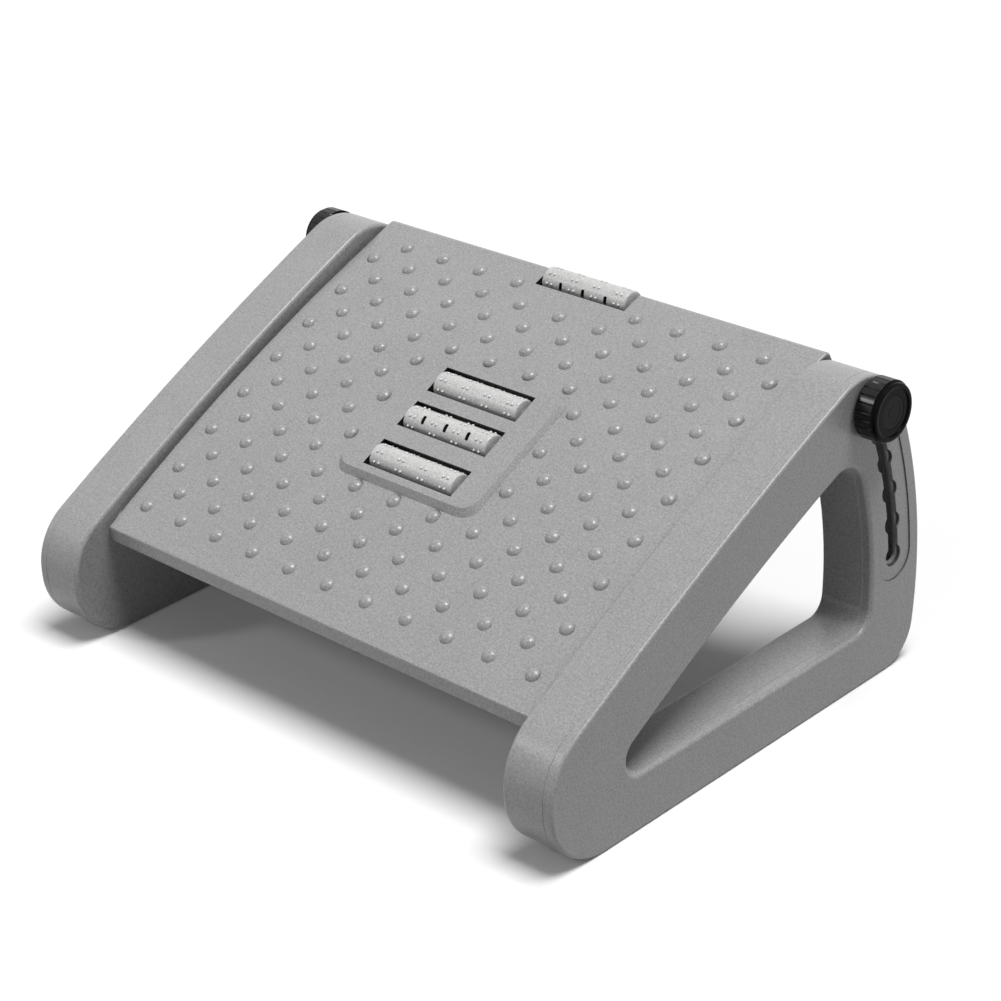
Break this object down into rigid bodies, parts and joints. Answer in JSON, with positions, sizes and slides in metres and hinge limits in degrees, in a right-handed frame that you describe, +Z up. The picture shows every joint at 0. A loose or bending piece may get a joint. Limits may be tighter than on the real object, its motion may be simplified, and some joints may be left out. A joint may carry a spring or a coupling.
{
  "type": "under-desk footrest",
  "caption": "Tilting under-desk footrest: bowed dimpled footboard with massage rollers between two wedge side frames, clamped by side knobs.",
  "frame": {"origin": "on the floor under the middle of the object, half-way between the side frames and half-way along them", "axes": "+X to the user's right across the footrest, +Y from the low front edge to the high rear edge, +Z up"},
  "size_m": [0.4904, 0.3355, 0.2103],
  "materials": {
    "frame_plastic": "fine-textured matte grey moulding",
    "board_plastic": "fine-textured matte grey moulding",
    "roller_plastic": "smooth light grey moulding",
    "knob_plastic": "satin black moulding",
    "cap_plastic": "black moulding, a little glossier than the knob",
    "strip_rubber": "matte black rubber",
    "bush_nylon": "natural nylon",
    "pin_steel": "zinc-plated steel"
  },
  "bodies": {
    "frames": {"left_frame_shell": "frame_plastic", "left_frame_cover": "frame_plastic", "left_rubber_strip": "strip_rubber", "left_pivot_pin": "pin_steel", "right_frame_shell": "frame_plastic", "right_frame_cover": "frame_plastic", "right_rubber_strip": "strip_rubber", "right_pivot_pin": "pin_steel"},
    "platform": {"footboard": "board_plastic", "left_pivot_bush": "bush_nylon", "left_captive_nut": "pin_steel", "right_pivot_bush": "bush_nylon", "right_captive_nut": "pin_steel", "front_roller_axle": "pin_steel", "middle_roller_axle": "pin_steel", "back_roller_axle": "pin_steel", "edge_roller_axle": "pin_steel"},
    "front_roller": {"front_roller": "roller_plastic"},
    "middle_roller": {"middle_roller": "roller_plastic"},
    "back_roller": {"back_roller": "roller_plastic"},
    "edge_roller": {"edge_roller": "roller_plastic"},
    "left_collar": {"left_stepped_collar": "knob_plastic"},
    "left_knob": {"left_knob": "knob_plastic", "left_knob_cap": "cap_plastic", "left_clamp_bolt": "pin_steel"},
    "right_collar": {"right_stepped_collar": "knob_plastic"},
    "right_knob": {"right_knob": "knob_plastic", "right_knob_cap": "cap_plastic", "right_clamp_bolt": "pin_steel"}
  },
  "joints": [
    {"name": "platform_tilt", "type": "hinge", "parent": "frames", "child": "platform", "pos_m": [0, -0.12275, 0.0733], "axis": [1, 0, 0], "range_deg": [-24.75, 0]},
    {"name": "front_roller_spin", "type": "hinge", "parent": "platform", "child": "front_roller", "pos_m": [0, -0.03657, 0.13475], "axis": [1, 0, 0], "continuous": true},
    {"name": "middle_roller_spin", "type": "hinge", "parent": "platform", "child": "middle_roller", "pos_m": [0, -0.00585, 0.14954], "axis": [1, 0, 0], "continuous": true},
    {"name": "back_roller_spin", "type": "hinge", "parent": "platform", "child": "back_roller", "pos_m": [0, 0.02191, 0.1629], "axis": [1, 0, 0], "continuous": true},
    {"name": "edge_roller_spin", "type": "hinge", "parent": "platform", "child": "edge_roller", "pos_m": [0, 0.12472, 0.20131], "axis": [1, 0, 0], "continuous": true},
    {"name": "left_clamp_travel", "type": "slide", "parent": "platform", "child": "left_collar", "axis": [1, 0, 0], "range_m": [0, 0.002]},
    {"name": "left_knob_turn", "type": "hinge", "parent": "left_collar", "child": "left_knob", "pos_m": [-0.24, 0.11622, 0.18831], "axis": [1, 0, 0], "range_deg": [0, 576.2]},
    {"name": "right_clamp_travel", "type": "slide", "parent": "platform", "child": "right_collar", "axis": [-1, 0, 0], "range_m": [0, 0.002]},
    {"name": "right_knob_turn", "type": "hinge", "parent": "right_collar", "child": "right_knob", "pos_m": [0.24, 0.11622, 0.18831], "axis": [-1, 0, 0], "range_deg": [0, 576.2]}
  ],
  "couplings": [
    {"joint": "left_knob_turn", "follows": "left_clamp_travel", "rad_per_m": 5026.5},
    {"joint": "right_knob_turn", "follows": "right_clamp_travel", "rad_per_m": 5026.5}
  ]
}
